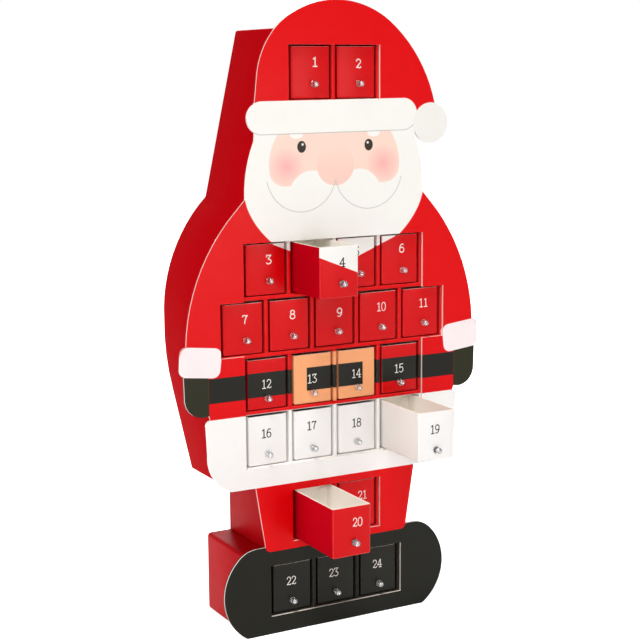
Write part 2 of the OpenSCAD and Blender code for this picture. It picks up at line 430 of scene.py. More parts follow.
class Sketch:
    """Flat shapes on the front, each a depth in millimetres that is above 0 inside the shape."""

    def __init__(self, desk: Desk, softness: float) -> None:
        """Reads the point on the front.

        Args:
            desk: the material that is drawn on.
            softness: width of a printed edge in millimetres.
        """
        self.desk = desk
        self.softness = softness
        self.x, self.y, self.z = desk.millimetres()
        self.side = abs(self.x)

    def mask(self, depth: Signal, softness: Union[float, None] = None) -> Signal:
        """Coverage of a shape from its depth.

        Args:
            depth: depth inside the shape.
            softness: width of the edge, or None for a printed edge.

        Returns:
            0 outside and 1 inside.
        """
        width = self.softness if softness is None else softness
        return self.desk.math("MULTIPLY_ADD", depth, 1 / width, 0.5, clamp=True)

    def inked(self, colour: Colour, depth: Signal, ink: Ink) -> bpy.types.NodeSocket:
        """Prints a shape in one ink over a colour."""
        return self.desk.over(colour, self.mask(depth), ink)

    def band(self, low: float, high: float) -> Signal:
        """A level band between two heights."""
        return (self.z - low) & (high - self.z)

    def oval(self, shape: Oval) -> Signal:
        """An upright oval, on both sides where it is one of a pair.

        Args:
            shape: the oval.

        Returns:
            The depth.
        """
        across = ((self.side if shape.paired else self.x) - shape.centre[0]) / shape.half[0]
        rise = (self.z - shape.centre[1]) / shape.half[1]
        return (1.0 - (across * across + rise * rise).root()) * min(shape.half)

    def rounded(self, across: Signal, rise: Signal, radius: float) -> Signal:
        """The rounded corner where two straight edges meet.

        Args:
            across: distance past the corner's circle sideways.
            rise: distance past the corner's circle in height.
            radius: the corner's radius.

        Returns:
            The depth.
        """
        past_x = across | 0.0
        past_z = rise | 0.0
        return radius - (past_x * past_x + past_z * past_z).root()

    def ring(self, centre: Sequence[float], radius: float, width: float) -> Signal:
        """A circle's line, the same on both sides.

        Args:
            centre: the right-hand circle's middle.
            radius: the circle's radius.
            width: the line's width.

        Returns:
            The depth.
        """
        across = self.side - centre[0]
        rise = self.z - centre[1]
        return width / 2 - abs((across * across + rise * rise).root() - radius)


@dataclass(frozen=True)
class PlainFace:
    """A plain round face between the beard and the hat, even on both sides."""

    head: Oval = Oval((0, 425), (66, 54))
    cheek: Oval = Oval((50, 424), (17, 17), True)
    cheek_foot: float = 407
    lip: Oval = Oval((24, 397), (23, 23), True)
    blush: Oval = Oval((49, 424), (17, 17), True)
    blush_inset: float = 8
    blush_soft: float = 17
    blush_strength: float = 0.85
    nose: Oval = Oval((0, 424), (19, 18))
    nose_top: float = 430
    nose_soft: float = 22
    eye: Oval = Oval((34, 441), (4.3, 5.2), True)
    glint: Oval = Oval((33, 443), (1.1, 1.1), True)
    eyebrow: Oval = Oval((39, 451.5), (6.5, 3.4), True)
    curl: tuple[float, float] = (34, 419)
    curl_r: float = 35
    curl_line: float = 0.7
    curl_top: float = 412
    curl_strength: float = 0.8

    def drawn(self, sketch: Sketch, colour: Colour) -> bpy.types.NodeSocket:
        """Draws the face.

        Args:
            sketch: the shapes on the front.
            colour: the colour below.

        Returns:
            The colour.
        """
        desk = sketch.desk
        cheek_x, cheek_z = self.cheek.centre
        middle = (cheek_x - sketch.side) & (sketch.z - self.cheek_foot)
        brow = (sketch.z - cheek_z) | sketch.oval(self.cheek) | middle
        skin = sketch.mask(sketch.oval(self.head) & brow & -sketch.oval(self.lip))
        colour = desk.over(colour, skin, Ink.SKIN)
        blush = sketch.mask(sketch.oval(self.blush) - self.blush_inset, self.blush_soft)
        colour = desk.over(colour, blush * skin * self.blush_strength, Ink.BLUSH)
        nose = sketch.mask(sketch.oval(self.nose)) * sketch.mask(self.nose_top - sketch.z, self.nose_soft)
        colour = desk.over(colour, nose, Ink.NOSE)
        for shape, ink in ((self.eye, Ink.EYE), (self.glint, Ink.WHITE), (self.eyebrow, Ink.WHITE)):
            colour = sketch.inked(colour, sketch.oval(shape), ink)
        curl = sketch.ring(self.curl, self.curl_r, self.curl_line) & (self.curl_top - sketch.z)
        return desk.over(colour, sketch.mask(curl & sketch.side) * self.curl_strength, Ink.LINE)


@dataclass(frozen=True)
class FatherChristmasPrint:
    """The printed figure: hat, face, beard, coat, belt, mittens, trousers and boots."""

    coat: Ink = Ink.RED
    face: PlainFace = PlainFace()
    softness: float = 0.35
    trouser_foot: float = 78.0
    trouser_half: float = 73.6
    trouser_flare: float = 0.155
    trouser_round: float = 5.0
    hem: tuple[float, float] = (139.4, 206.6)
    belt: tuple[float, float] = (221.3, 243.4)
    belt_half: float = 127.0
    mitten_top: float = 250.0
    cuff_centre: tuple[float, float] = (134.5, 258.6)
    cuff_half: tuple[float, float] = (19.5, 13.2)
    cuff_round: float = 7.0
    cuff_tilt: float = 6.5
    buckle_half: float = 43.4
    buckle: tuple[float, float] = (209.9, 255.4)
    slot_half: float = 29.2
    slot: tuple[float, float] = (222.0, 243.2)
    beard_centre: tuple[float, float] = (1.0, 401.0)
    beard_half: tuple[float, float] = (91.0, 69.0)
    beard_power: float = 1.7
    beard_tip: float = 331.5
    beard_slope: float = 0.4
    trim: tuple[float, float] = (453.6, 481.2)
    trim_ends: tuple[float, float] = (-72.9, 70.6)
    trim_fall: float = 1.0
    pompom: Oval = Oval((99.6, 459.0), (18.4, 18.4))
    line: float = 0.6

    def boots(self, sketch: Sketch) -> Signal:
        """The boots, which are all that lies below the hem and outside the trousers.

        Args:
            sketch: the shapes on the front.

        Returns:
            The depth.
        """
        flare = (sketch.z - self.trouser_foot) * self.trouser_flare
        trousers = sketch.rounded(
            sketch.side - flare - (self.trouser_half - self.trouser_round),
            (self.trouser_foot + self.trouser_round) - sketch.z,
            self.trouser_round,
        )
        return (self.hem[0] - sketch.z) & -trousers

    def cuffs(self, sketch: Sketch) -> Signal:
        """The two tilted fur cuffs.

        Args:
            sketch: the shapes on the front.

        Returns:
            The depth.
        """
        turn = math.radians(self.cuff_tilt)
        across = sketch.side - self.cuff_centre[0]
        rise = sketch.z - self.cuff_centre[1]
        along = abs(across * math.cos(turn) + rise * math.sin(turn))
        up = abs(rise * math.cos(turn) - across * math.sin(turn))
        return sketch.rounded(
            along - (self.cuff_half[0] - self.cuff_round),
            up - (self.cuff_half[1] - self.cuff_round),
            self.cuff_round,
        )

    def beard(self, sketch: Sketch) -> Signal:
        """The full beard, round at the sides and drawn to a blunt tip.

        Args:
            sketch: the shapes on the front.

        Returns:
            The depth.
        """
        side = abs(sketch.x - self.beard_centre[0])
        fall = ((self.beard_centre[1] - sketch.z) | 0.0) / self.beard_half[1]
        full = (side / self.beard_half[0]) ** self.beard_power + fall**self.beard_power
        round_part = (1.0 - full) * (self.beard_half[1] / self.beard_power)
        rise = sketch.z - self.beard_tip - side * self.beard_slope
        tip = rise * math.cos(math.atan(self.beard_slope))
        return round_part & tip & (self.trim[1] - sketch.z)

    def hatted(self, sketch: Sketch, colour: Colour) -> bpy.types.NodeSocket:
        """The hat with its fur trim and pompom.

        Args:
            sketch: the shapes on the front.
            colour: the colour below.

        Returns:
            The colour.
        """
        middle = sum(self.trim_ends) / 2
        half = (self.trim_ends[1] - self.trim_ends[0]) / 2
        radius = (self.trim[1] - self.trim[0]) / 2
        drop = (self.trim_ends[1] - sketch.x) * (self.trim_fall / (2 * half))
        rise = sketch.z - sum(self.trim) / 2 + drop
        past = (abs(sketch.x - middle) - half) | 0.0
        trim = radius - (past * past + rise * rise).root()
        lined = trim + self.line
        colour = sketch.inked(colour, rise, self.coat)
        colour = sketch.inked(colour, lined, Ink.LINE)
        colour = sketch.inked(colour, trim | (rise & lined), Ink.WHITE)
        return sketch.inked(colour, sketch.oval(self.pompom), Ink.FUR)

    def colour(self, sketch: Sketch) -> bpy.types.NodeSocket:
        """The whole print, from the boots up.

        Args:
            sketch: the shapes on the front.

        Returns:
            The colour.
        """
        layers = (
            (self.boots(sketch), Ink.BOOT),
            (sketch.band(*self.hem), Ink.HEM),
            (sketch.band(*self.belt) & (self.belt_half - sketch.side), Ink.BELT),
            (sketch.band(self.hem[1], self.mitten_top) & (sketch.side - self.belt_half), Ink.MITTEN),
            (sketch.band(*self.buckle) & (self.buckle_half - sketch.side), Ink.AMBER),
            (sketch.band(*self.slot) & (self.slot_half - sketch.side), Ink.BELT),
            (self.cuffs(sketch), Ink.CUFF),
            (self.beard(sketch), Ink.WHITE),
        )
        colour: Colour = self.coat
        for depth, ink in layers:
            colour = sketch.inked(colour, depth, ink)
        return self.hatted(sketch, self.face.drawn(sketch, colour))


@dataclass(frozen=True)
class CardSurface:
    """The feel of coated card: faint mottling, satin gloss and paper fibre."""

    mottle: float = 0.05
    mottle_size: float = 14.0
    mottle_share: float = 0.6
    fibre_size: float = 0.45
    fibre_depth: float = 0.03
    fleck_detail: float = 3.0
    ripple_size: float = 38.0
    ripple_depth: float = 0.5
    ripple_detail: float = 1.0
    relief: float = 1.0
    relief_strength: float = 0.6
    roughness: float = 0.32
    roughness_spread: float = 0.12
    specular: float = 0.09

    def finish(self, desk: Desk, colour: Colour) -> bpy.types.Material:
        """Ends a card material.

        Args:
            desk: the material.
            colour: its print or plain colour.

        Returns:
            The finished material.
        """
        cloud = desk.noise(self.mottle_size, self.fleck_detail)
        fibre = desk.noise(self.fibre_size, self.fleck_detail)
        ripple = desk.noise(self.ripple_size, self.ripple_detail)
        grain = cloud * self.mottle_share + fibre * (1.0 - self.mottle_share)
        height = fibre * self.fibre_depth + ripple * self.ripple_depth
        return desk.surface(
            {
                "Base Color": desk.shaded(colour, grain, self.mottle),
                "Roughness": self.roughness + (cloud - 0.5) * self.roughness_spread,
                "Specular IOR Level": self.specular,
                "Normal": desk.bump(height, self.relief, self.relief_strength),
            }
        )


@dataclass(frozen=True)
class ClearMoulding:
    """Clear moulded plastic with faint handling haze, its colour darkened towards the rim as painted
    shade in place of dark surroundings seen through it.
    """

    haze_size: float = 1.5
    haze_shade: float = 0.04
    haze_roughness: float = 0.05
    polish: float = 0.02
    rim_blend: float = 0.35
    rim_power: float = 0.6
    ior: float = 1.52
    specular: float = 0.25
    coat_ior: float = 1.9

    def finish(self, desk: Desk) -> bpy.types.Material:
        """Ends a clear material.

        Args:
            desk: the material.

        Returns:
            The finished material.
        """
        haze = desk.noise(self.haze_size)
        # painted shade: the bead darkens towards its rim as seen from the view, with less coat there
        weight = desk.node("ShaderNodeLayerWeight", {}, {"Blend": self.rim_blend})
        painted_rim = Signal(desk, weight.outputs["Facing"]) ** self.rim_power
        body = desk.shaded(Ink.CLEAR, haze, self.haze_shade)
        return desk.surface(
            {
                "Base Color": desk.over(body, painted_rim, Ink.CLEAR_RIM),
                "Roughness": self.polish + haze * self.haze_roughness,
                "IOR": self.ior,
                "Specular IOR Level": self.specular,
                "Transmission Weight": 1.0,
                "Coat Weight": 1.0 - painted_rim,
                "Coat IOR": self.coat_ior,
                "Coat Roughness": self.polish,
            }
        )


@dataclass(frozen=True)
class Finishes:
    """Every material of the calendar, made once."""

    board: bpy.types.Material
    drawer_print: bpy.types.Material
    partition: bpy.types.Material
    wall: bpy.types.Material
    low_wall: bpy.types.Material
    back: bpy.types.Material
    stocks: Mapping[Stock, bpy.types.Material]
    lining: bpy.types.Material
    raw_edge: bpy.types.Material
    bead: bpy.types.Material
    numeral_pale: bpy.types.Material
    numeral_dark: bpy.types.Material


@dataclass(frozen=True)
class FinishMaker:
    """Makes the materials from the print, the card and two planes of the frame.

    The planes are the front board's face and the partitions' front edges, in millimetres.
    """

    face_y: float
    cell_y: float
    print_skin: float = 0.05
    skin_soft: float = 0.02
    cut_depth: float = 0.95
    cut_soft: float = 0.1
    window_cut: float = 1.2
    middle_window_half: float = 60.0
    coat_window_half: float = 118.0
    coat_window: tuple[float, float] = (155.0, 365.0)
    boot_window_half: float = 80.0
    boot_window: tuple[float, float] = (0.0, 70.0)
    wrap_soft: float = 1.0
    wrap_shade: float = 0.45
    fold_depth: float = 2.0
    cell_shade: float = 0.3
    wear: float = 0.05
    wear_size: float = 4.0
    flat: float = 0.08
    layer_size: float = 1.6
    layer_stretch: tuple[float, float, float] = (0.3, 4.0, 0.3)
    layer_shade: float = 0.18
    sheet_size: float = 60.0
    figure: FatherChristmasPrint = FatherChristmasPrint()
    # the drawers' red carries painted shade of their recess as well as a deeper print tone
    drawer_figure: FatherChristmasPrint = FatherChristmasPrint(coat=Ink.DRAWER_RED)
    card: CardSurface = CardSurface(specular=0.1)
    drawer_card: CardSurface = CardSurface(specular=0.13)
    wrap: CardSurface = CardSurface(roughness=0.55, specular=0.006)
    low_wrap: CardSurface = CardSurface(roughness=0.45, specular=0.024)
    paper: CardSurface = CardSurface(mottle=0.1, roughness=0.75, specular=0.1, fibre_depth=0.05)
    lining: CardSurface = CardSurface(mottle=0.03, roughness=0.6, specular=0.1, fibre_depth=0.04)
    moulding: ClearMoulding = ClearMoulding()

    def raw_colour(self, desk: Desk) -> bpy.types.NodeSocket:
        """Pressed board with layers that run along the sheet."""
        layers = desk.noise(self.layer_size, stretch=self.layer_stretch)
        return desk.shaded(Ink.RAW, layers, self.layer_shade)

    def board(self) -> bpy.types.Material:
        """Print on the face, a pale cut edge, and painted shade on the edge behind the cut, where the
        board runs back from the face; pale print is not darkened there.

        Returns:
            The material.
        """
        desk = Desk.material("printed_board")
        sketch = Sketch(desk, self.figure.softness)
        printed = self.figure.colour(sketch)
        depth = sketch.y - self.face_y
        # painted shade: the edge darkens deeper than the cut, but not where the print is pale
        dark = sketch.mask(depth, self.wrap_soft) * (1.0 - desk.paleness(printed))
        edge_shaded_print = desk.shaded(printed, dark, self.wrap_shade)
        coat = sketch.mask(self.coat_window_half - sketch.side) & sketch.band(*self.coat_window)
        boots = sketch.mask(self.boot_window_half - sketch.side) & sketch.band(*self.boot_window)
        window = sketch.mask(self.middle_window_half - sketch.side) | coat | boots
        cut = sketch.mask(window * self.window_cut + self.cut_depth - depth, self.cut_soft)
        colour = desk.over(edge_shaded_print, cut, self.raw_colour(desk))
        skin = sketch.mask(self.print_skin - depth, self.skin_soft)
        return self.card.finish(desk, desk.over(colour, skin, printed))

    def worn(self, desk: Desk, colour: Colour) -> bpy.types.NodeSocket:
        """Lightens the print towards the pale board over the folds, in flecks: partly wear and partly a
        painted highlight where the folds catch the light.
        """
        # partly wear, partly painted highlight: paler over the folds, broken up by noise
        fold_highlight_and_wear = ((desk.turned_away() - self.flat) / self.flat).clamped()
        return desk.over(colour, fold_highlight_and_wear * desk.noise(self.wear_size) * self.wear, Ink.RAW)

    def partition(self) -> bpy.types.Material:
        """Print on the ribs' fronts, darkened with painted shade where it runs back into the cells,
        except where the print is pale.

        Returns:
            The material.
        """
        desk = Desk.material("printed_partition")
        sketch = Sketch(desk, self.figure.softness)
        # painted shade deeper into the cells between the drawers, left off where the print is pale
        inside = sketch.mask(sketch.y - self.cell_y - self.fold_depth, self.fold_depth)
        printed = self.worn(desk, self.figure.colour(sketch))
        dark = inside * (1.0 - desk.paleness(printed))
        return self.card.finish(desk, desk.shaded(printed, dark, self.cell_shade))

    def drawer_print(self) -> bpy.types.Material:
        """Print on the drawer fronts, its red darker than on the board, partly a deeper print tone and
        partly painted shade of the recess the fronts sit in.

        Returns:
            The material.
        """
        desk = Desk.material("drawer_print")
        sketch = Sketch(desk, self.drawer_figure.softness)
        return self.drawer_card.finish(desk, self.worn(desk, self.drawer_figure.colour(sketch)))

    def plain(self, name: str, ink: Ink, surface: CardSurface) -> bpy.types.Material:
        """Card of one colour."""
        desk = Desk.material(name)
        return surface.finish(desk, desk.shaded(ink, desk.noise(self.sheet_size), surface.mottle))

    def raw_edge(self) -> bpy.types.Material:
        """Cut edge of the card."""
        desk = Desk.material("raw_edge")
        return self.paper.finish(desk, self.raw_colour(desk))

    def make(self) -> Finishes:
        """Makes all the materials.

        Returns:
            The materials.
        """
        return Finishes(
            board=self.board(),
            drawer_print=self.drawer_print(),
            partition=self.partition(),
            # the wraps' red carries painted shade of the sides turned away from the light
            wall=self.plain("red_wrap", Ink.WALL_RED, self.wrap),
            low_wall=self.plain("red_low_wrap", Ink.WALL_RED, self.low_wrap),
            back=self.plain("red_back", Ink.WALL_RED, self.wrap),
            stocks={stock: self.plain(stock.slot, stock.value, self.wrap) for stock in Stock},
            lining=self.plain("cream_lining", Ink.CREAM, self.lining),
            raw_edge=self.raw_edge(),
            bead=self.moulding.finish(Desk.material("clear_bead")),
            numeral_pale=self.plain("pale_numeral", Ink.NUMERAL_PALE, self.card),
            numeral_dark=self.plain("dark_numeral", Ink.NUMERAL_DARK, self.card),
        )


class Bench:
    """One mesh on the workbench, shaped in edit mode."""

    BY_VERTEX = (True, False, False)
    BY_EDGE = (False, True, False)
    BY_FACE = (False, False, True)
    IN_PLANE = math.radians(0.2)

    def __init__(self, obj: bpy.types.Object) -> None:
        """Takes up an object.

        Args:
            obj: the mesh object.
        """
        self.obj = obj

    @staticmethod
    def clear() -> None:
        """Leaves edit mode with nothing selected."""
        if bpy.context.mode != "OBJECT":
            bpy.ops.object.mode_set(mode="OBJECT")
        bpy.ops.object.select_all(action="DESELECT")

    @classmethod
    def block(cls, name: str, low: Sequence[float], high: Sequence[float]) -> Bench:
        """Starts from a block between two corners.

        Args:
            name: the object's name.
            low: the lowest corner in metres.
            high: the highest corner in metres.

        Returns:
            The bench with the block on it.
        """
        cls.clear()
        middle = (Vector(low) + Vector(high)) / 2
        bpy.ops.mesh.primitive_cube_add(size=1.0, location=middle, scale=Vector(high) - Vector(low))
        bench = cls(bpy.context.object)
        bench.obj.name = name
        bench.obj.data.name = name
        bench.settle()
        return bench

    @classmethod
    def copy_of(cls, node: bpy.types.Object, name: str) -> Bench:
        """Starts from a merged copy of a CAD node.

        Args:
            node: the CAD node's object.
            name: the copy's name.

        Returns:
            The bench with the copy on it.
        """
        cls.clear()
        bench = cls(node).placed_copy(name, Vector())
        bench.activate()
        bpy.ops.object.mode_set(mode="EDIT")
        bpy.ops.mesh.select_all(action="SELECT")
        bpy.ops.mesh.remove_doubles(threshold=MERGE)
        bpy.ops.mesh.dissolve_limited(angle_limit=cls.IN_PLANE)
        bpy.ops.object.mode_set(mode="OBJECT")
        return bench

    def activate(self) -> None:
        """Selects this object alone."""
        self.clear()
        self.obj.select_set(True)
        bpy.context.view_layer.objects.active = self.obj

    def settle(self) -> None:
        """Puts the object's place, turn and size into its mesh."""
        self.activate()
        bpy.ops.object.transform_apply(location=True, rotation=True, scale=True)

    def unpick(self) -> bpy.types.Mesh:
        """Activates the object with nothing of its mesh selected.

        Returns:
            The mesh.
        """
        self.activate()
        mesh = self.obj.data
        for group in (mesh.vertices, mesh.edges, mesh.polygons):
            group.foreach_set("select", [False] * len(group))
        return mesh

    @staticmethod
    def edit(mode: tuple[bool, bool, bool]) -> None:
        """Goes into edit mode, by vertex, edge or face."""
        bpy.context.tool_settings.mesh_select_mode = mode
        bpy.ops.object.mode_set(mode="EDIT")

    def pick_faces(self, test: Callable[[Vector, Vector], bool]) -> None:
        """Selects faces in edit mode.

        Args:
            test: tells from a face's middle and normal whether it is picked.
        """
        for face in self.unpick().polygons:
            face.select = test(face.center, face.normal)
        self.edit(self.BY_FACE)

    def pick_edges(self, test: Callable[[Vector, Vector], bool]) -> None:
        """Selects edges in edit mode.

        Args:
            test: tells from an edge's two ends whether it is picked.
        """
        mesh = self.unpick()
        for edge in mesh.edges:
            start, end = (mesh.vertices[i].co for i in edge.vertices)
            edge.select = test(start, end)
        self.edit(self.BY_EDGE)

    def bevel(self, offset: float, segments: int) -> None:
        """Rounds the picked edges by a width in metres, in so many steps."""
        bpy.ops.mesh.bevel(offset=offset, segments=segments, profile=0.5, affect="EDGES")
        bpy.ops.object.mode_set(mode="OBJECT")

    def apply(self, kind: str, settings: Mapping[str, Any]) -> None:
        """Adds a modifier and applies it.

        Args:
            kind: the modifier's type.
            settings: its properties.
        """
        self.activate()
        modifier = self.obj.modifiers.new(kind.title(), kind)
        for key, value in settings.items():
            setattr(modifier, key, value)
        bpy.ops.object.modifier_apply(modifier=modifier.name)

    def soften(self, width: float, segments: int, angle: float) -> None:
        """Rounds every edge that is sharper than an angle.

        Args:
            width: width of the rounding in metres.
            segments: its steps.
            angle: the least angle that is rounded, in degrees.
        """
        limit = {"limit_method": "ANGLE", "angle_limit": math.radians(angle)}
        self.apply("BEVEL", {"width": width, "segments": segments, **limit})

    def join(self, others: Sequence[Bench]) -> None:
        """Takes other pieces into this one, if there are any.

        Args:
            others: the benches whose objects join.
        """
        if not others:
            return
        self.activate()
        for other in others:
            other.obj.select_set(True)
        bpy.ops.object.join()

    def smooth(self, angle: float) -> None:
        """Shades smooth what turns by less than an angle in degrees."""
        self.activate()
        bpy.ops.object.shade_smooth_by_angle(angle=math.radians(angle))

    def paint(self, *materials: bpy.types.Material) -> None:
        """Gives the object its material slots.

        Args:
            materials: the slots' materials in order.
        """
        self.obj.data.materials.clear()
        for material in materials:
            self.obj.data.materials.append(material)

    def placed_copy(self, name: str, place: Vector) -> Bench:
        """Copies the object, with its place in the mesh.

        Args:
            name: the copy's name.
            place: where the copy goes in metres.

        Returns:
            The bench with the copy on it.
        """
        obj = bpy.data.objects.new(name, self.obj.data.copy())
        obj.data.name = name
        obj.data.transform(Matrix.Translation(place))
        bpy.context.scene.collection.objects.link(obj)
        return Bench(obj)

    def stand_for(self, body: str, node: str, slot: str) -> None:
        """Puts the piece in the place of a CAD node.

        Args:
            body: the body that it moves with.
            node: the CAD node.
            slot: not used.
        """
        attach(self.obj, body)
        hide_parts(node)
        LOG.info("%s stands for %s", self.obj.name, node)

    def discard(self) -> None:
        """Removes a pattern piece once its copies are made."""
        bpy.data.objects.remove(self.obj)


@dataclass
class CardBox:
    """The die-cut front board, the folded walls behind it, the back and the partitions."""

    finishes: Finishes
    nodes: Mapping[str, bpy.types.Object]
    body: str = "cabinet"
    fold: float = 0.9 * MM
    fold_steps: int = 3
    fold_angle: float = 50.0
    corner_steps: int = 6
    rib_round: float = 1.2 * MM
    rib_steps: int = 5
    rib_smooth: float = 40.0
    back_round: float = 0.5 * MM
    back_steps: int = 2
    smooth_angle: float = 24.0
    near: float = 0.5 * MM
    plane: float = 0.1 * MM
    straight: float = 0.9
    walls: tuple[str, ...] = ("body_wall", "leg_walls", "boot_wall")
    corners: tuple[tuple[str, float], ...] = (("body_wall", 2.0 * MM), ("boot_wall", 3.5 * MM))
    partitions: tuple[str, ...] = (
        "hat_shelves",
        "coat_shelves",
        "lower_shelves",
        "hat_dividers",
        "coat_dividers",
        "lower_dividers",
    )

    def build(self) -> None:
        """Builds and dresses every fixed piece."""
        self.dress_board()
        for name in self.walls:
            self.build_wall(name)
        for name in self.partitions:
            self.build_partition(name)
        self.build_back()

    def dress_board(self) -> None:
        """Prints the front board's node."""
        Bench(self.nodes["front_panel"]).paint(self.finishes.board)
        LOG.info("front_panel printed")

    def build_wall(self, name: str) -> None:
        """Wraps one folded wall, its corners rounded by the fold.

        Args:
            name: the CAD node.
        """
        bench = Bench.copy_of(self.nodes[name], f"{name}_wrap")
        for node, radius in self.corners:
            if node == name:
                self.round_corners(bench, node, radius)
        bench.soften(self.fold, self.fold_steps, self.fold_angle)
        bench.smooth(self.smooth_angle)
        bench.paint(self.finishes.wall if name == "body_wall" else self.finishes.low_wall)
        bench.stand_for(self.body, name, "red_wrap")

    def round_corners(self, bench: Bench, node: str, radius: float) -> None:
        """Rounds the outer corners where the wrap is folded over the top and foot of a wall.

        Args:
            bench: the piece.
            node: the wall's CAD node, whose box gives the two levels.
            radius: the corners' radius in metres.
        """
        low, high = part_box(node)
        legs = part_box("leg_walls")[1].x

        def on_corner(start: Vector, end: Vector) -> bool:
            """Whether an edge runs from front to back along an outer corner.

            Args:
                start: one end of the edge.
                end: its other end.

            Returns:
                True on a corner.
            """
            along = abs(start.y - end.y) > self.straight * (end - start).length
            level = min(abs(start.z - low.z), abs(start.z - high.z)) < self.near
            return along and level and abs(abs(start.x) - legs) > self.near

        bench.pick_edges(on_corner)
        bench.bevel(radius, self.corner_steps)

    def in_plane(self, y: float, start: Vector, end: Vector) -> bool:
        """Whether an edge lies in an upright plane across the calendar."""
        return max(abs(start.y - y), abs(end.y - y)) < self.plane

    def build_partition(self, name: str) -> None:
        """Rounds the front edges of one set of shelves or dividers and prints them.

        Args:
            name: the CAD node.
        """
        bench = Bench.copy_of(self.nodes[name], f"{name}_ribs")
        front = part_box(name)[0].y

        def on_front(start: Vector, end: Vector) -> bool:
            """Whether an edge lies in the front plane and runs along the rib."""
            upright = abs(start.z - end.z) > abs(start.x - end.x)
            return self.in_plane(front, start, end) and upright == name.endswith("dividers")

        bench.pick_edges(on_front)
        bench.bevel(self.rib_round, self.rib_steps)
        bench.smooth(self.rib_smooth)
        bench.paint(self.finishes.partition)
        bench.stand_for(self.body, name, "red_card")

    def build_back(self) -> None:
        """Rounds the back board's wrapped edges."""
        bench = Bench.copy_of(self.nodes["back_panel"], "back_board")
        for node, radius in self.corners:
            self.round_corners(bench, node, radius)
        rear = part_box("back_panel")[1].y
        bench.pick_edges(lambda start, end: self.in_plane(rear, start, end))
        bench.bevel(self.back_round, self.back_steps)
        bench.smooth(self.smooth_angle)
        bench.paint(self.finishes.back)
        bench.stand_for(self.body, "back_panel", "red_wrap")


class TraySide(IntEnum):
    """Material slots of a tray, in order."""

    PRINT = 0
    OUTSIDE = 1
    LINING = 2
    EDGE = 3


@dataclass
class CardTray:
    """A drawer folded from card, with glue flaps in its corners."""

    finishes: Finishes
    card: float = 1.2 * MM
    fold: float = 1.6 * MM
    fold_steps: int = 4
    edge: float = 0.12 * MM
    edge_angle: float = 60.0
    smooth_angle: float = 35.0
    flap_w: float = 9.0 * MM
    flap_t: float = 0.6 * MM
    flap_drop: float = 2.0 * MM
    flap_taper: float = 2.5 * MM
    upward: float = 0.9
    frontward: float = 0.2
    size: Vector = field(default_factory=Vector)

    def build(self) -> None:
        """Folds one tray and copies it into every drawer."""
        low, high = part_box("drawer_01")
        self.size = high - low
        pattern = self.folded()
        for number in DRAWERS:
            self.place(pattern, number)
        pattern.discard()

    def folded(self) -> Bench:
        """Folds the tray with its front on y = 0 and its underside on z = 0.

        Returns:
            The pattern piece.
        """
        wide, deep, tall = self.size
        tray = Bench.block("tray", (-wide / 2, 0, 0), (wide / 2, deep, tall))
        tray.pick_faces(lambda centre, normal: normal.z > self.upward)
        bpy.ops.mesh.delete(type="FACE")
        bpy.ops.object.mode_set(mode="OBJECT")
        tray.pick_edges(lambda start, end: min(start.z, end.z) < self.edge)
        tray.bevel(self.fold, self.fold_steps)
        tray.apply("SOLIDIFY", {"thickness": self.card, "offset": -1.0, "use_even_offset": True})
        tray.join([self.flap(side, end) for side in (-1, 1) for end in (0, 1)])
        tray.soften(self.edge, 1, self.edge_angle)
        tray.smooth(self.smooth_angle)
        self.sort_faces(tray)
        return tray

    def flap(self, side: int, end: int) -> Bench:
        """Cuts one glue flap, tapered at its free edge.

        Args:
            side: -1 at the left wall and 1 at the right wall.
            end: 0 at the front and 1 at the back.

        Returns:
            The flap.
        """
        wide, deep, tall = self.size
        inner = side * (wide / 2 - self.card)
        free = inner - side * self.flap_w
        near = self.card if end == 0 else deep - self.card - self.flap_t
        left, right = sorted((inner, free))
        flap = Bench.block(
            "flap",
            (left, near, self.card),
            (right, near + self.flap_t, tall - self.flap_drop),
        )

        def on_free_top(start: Vector, end: Vector) -> bool:
            """Whether an edge lies at the top of the flap's free side."""
            aside = max(abs(start.x - free), abs(end.x - free))
            return aside < self.edge and min(start.z, end.z) > tall / 2

        flap.pick_edges(on_free_top)
        bpy.ops.transform.translate(value=(0, 0, -self.flap_taper))
        bpy.ops.object.mode_set(mode="OBJECT")
        return flap

    def sort_faces(self, tray: Bench) -> None:
        """Gives each face of the tray its material slot.

        Args:
            tray: the pattern piece.
        """
        tray.paint(
            self.finishes.drawer_print,
            self.finishes.stocks[Stock.RED],
            self.finishes.lining,
            self.finishes.raw_edge,
        )
        for face in tray.obj.data.polygons:
            face.material_index = self.side_of(face.center, face.normal)

    def side_of(self, centre: Vector, normal: Vector) -> TraySide:
        """Tells print, outside, lining and cut edge apart by a face's place and normal.

        Args:
            centre: the face's middle.
            normal: the face's normal.

        Returns:
            The slot.
        """
        _, deep, tall = self.size
        heart = Vector((0, deep / 2, tall / 2))
        if centre.z > tall - 1.5 * self.edge:
            return TraySide.EDGE
        if normal.dot(heart - centre) > 0 or self.is_inside(centre):
            return TraySide.LINING
        if normal.y < -self.frontward and centre.y < self.fold:
            return TraySide.PRINT
        return TraySide.OUTSIDE

    def is_inside(self, centre: Vector) -> bool:
        """Whether a face's middle lies inside the tray's walls, as a flap's does.

        Args:
            centre: the face's middle.

        Returns:
            True inside the walls.
        """
        wide, deep, _ = self.size
        inside_x = abs(centre.x) < wide / 2 - self.card + self.edge
        inside_y = self.card - self.edge < centre.y < deep - self.card + self.edge
        return inside_x and inside_y and centre.z > self.card - self.edge

    def place(self, pattern: Bench, number: int) -> None:
        """Copies the tray to one drawer.

        Args:
            pattern: the folded tray.
            number: the drawer's number.
        """
        node = f"drawer_{number:02d}"
        low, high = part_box(node)
        stock = Stock.of_drawer(number)
        tray = pattern.placed_copy(f"tray_{number:02d}", Vector(((low.x + high.x) / 2, low.y, low.z)))
        tray.obj.data.materials[TraySide.OUTSIDE] = self.finishes.stocks[stock]
        tray.stand_for(node, node, stock.slot)


